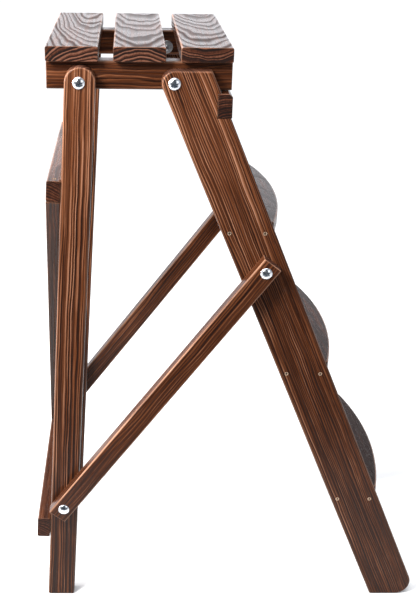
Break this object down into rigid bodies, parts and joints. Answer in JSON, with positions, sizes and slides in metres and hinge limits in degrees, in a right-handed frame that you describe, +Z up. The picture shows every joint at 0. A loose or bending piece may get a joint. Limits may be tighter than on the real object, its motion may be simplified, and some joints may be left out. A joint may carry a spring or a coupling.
{
  "type": "folding step ladder",
  "caption": "Folding wooden step ladder with a slatted platform, bowed treads, a braced rear frame and side struts on bolted pivots.",
  "frame": {"origin": "centre of the footprint on the floor, ladder open", "axes": "+Z up; -Y is the front, where the treads are climbed; +X along the width of the treads and slats"},
  "size_m": [0.41, 0.6058, 0.876],
  "materials": {
    "stained_pine": "dark brown stain with a satin oil sheen, grain showing",
    "bright_zinc": "bright zinc plated domed heads",
    "zinc_steel": "zinc plated",
    "screw_steel": "yellow passivated"
  },
  "bodies": {
    "rear_frame": {"leg_left": "stained_pine", "leg_right": "stained_pine", "crossbar_upper": "stained_pine", "crossbar_lower": "stained_pine", "diagonal": "stained_pine", "screw_diagonal_top": "screw_steel", "screw_diagonal_bottom": "screw_steel", "bolt_leg_left": "bright_zinc", "bolt_leg_right": "bright_zinc", "washer_leg_left": "zinc_steel", "washer_leg_right": "zinc_steel", "nut_leg_left": "zinc_steel", "nut_leg_right": "zinc_steel"},
    "platform": {"slat_rear": "stained_pine", "slat_middle": "stained_pine", "slat_front": "stained_pine", "rail_left": "stained_pine", "rail_right": "stained_pine"},
    "front_frame": {"stile_left": "stained_pine", "stile_right": "stained_pine", "tread_lower": "stained_pine", "tread_middle": "stained_pine", "tread_upper": "stained_pine", "stop_bar": "stained_pine", "screw_tread_lower_rear_left": "screw_steel", "screw_tread_lower_rear_right": "screw_steel", "screw_tread_lower_front_left": "screw_steel", "screw_tread_lower_front_right": "screw_steel", "screw_tread_middle_rear_left": "screw_steel", "screw_tread_middle_rear_right": "screw_steel", "screw_tread_middle_front_left": "screw_steel", "screw_tread_middle_front_right": "screw_steel", "screw_tread_upper_rear_left": "screw_steel", "screw_tread_upper_rear_right": "screw_steel", "screw_tread_upper_front_left": "screw_steel", "screw_tread_upper_front_right": "screw_steel", "bolt_stile_left": "bright_zinc", "bolt_stile_right": "bright_zinc", "washer_stile_left": "zinc_steel", "washer_stile_right": "zinc_steel", "nut_stile_left": "zinc_steel", "nut_stile_right": "zinc_steel", "stud_brace_upper_left": "zinc_steel", "stud_brace_upper_right": "zinc_steel", "washer_brace_upper_left": "zinc_steel", "washer_brace_upper_right": "zinc_steel", "nut_brace_upper_left": "zinc_steel", "nut_brace_upper_right": "zinc_steel"},
    "brace_left": {"brace_left": "stained_pine", "bolt_brace_lower_left": "bright_zinc", "washer_brace_lower_left": "zinc_steel", "nut_brace_lower_left": "zinc_steel", "bolt_brace_upper_left": "bright_zinc"},
    "brace_right": {"brace_right": "stained_pine", "bolt_brace_lower_right": "bright_zinc", "washer_brace_lower_right": "zinc_steel", "nut_brace_lower_right": "zinc_steel", "bolt_brace_upper_right": "bright_zinc"}
  },
  "joints": [
    {"name": "platform_tilt", "type": "hinge", "parent": "rear_frame", "child": "platform", "pos_m": [0, 0.2281, 0.83], "axis": [-1, 0, 0], "range_deg": [0, 66]},
    {"name": "front_frame_fold", "type": "hinge", "parent": "platform", "child": "front_frame", "pos_m": [0, 0.1011, 0.83], "axis": [1, 0, 0], "range_deg": [0, 88]},
    {"name": "brace_left_turn", "type": "hinge", "parent": "rear_frame", "child": "brace_left", "pos_m": [-0.1854, 0.2586, 0.177], "axis": [-1, 0, 0], "range_deg": [0, 22.5]},
    {"name": "brace_right_turn", "type": "hinge", "parent": "rear_frame", "child": "brace_right", "pos_m": [0.1854, 0.2586, 0.177], "axis": [-1, 0, 0], "range_deg": [0, 22.5]}
  ],
  "couplings": [
    {"joint": "front_frame_fold", "follows": "platform_tilt", "ratio": 1.3305},
    {"joint": "brace_left_turn", "follows": "platform_tilt", "ratio": 0.3389},
    {"joint": "brace_right_turn", "follows": "platform_tilt", "ratio": 0.3389}
  ]
}
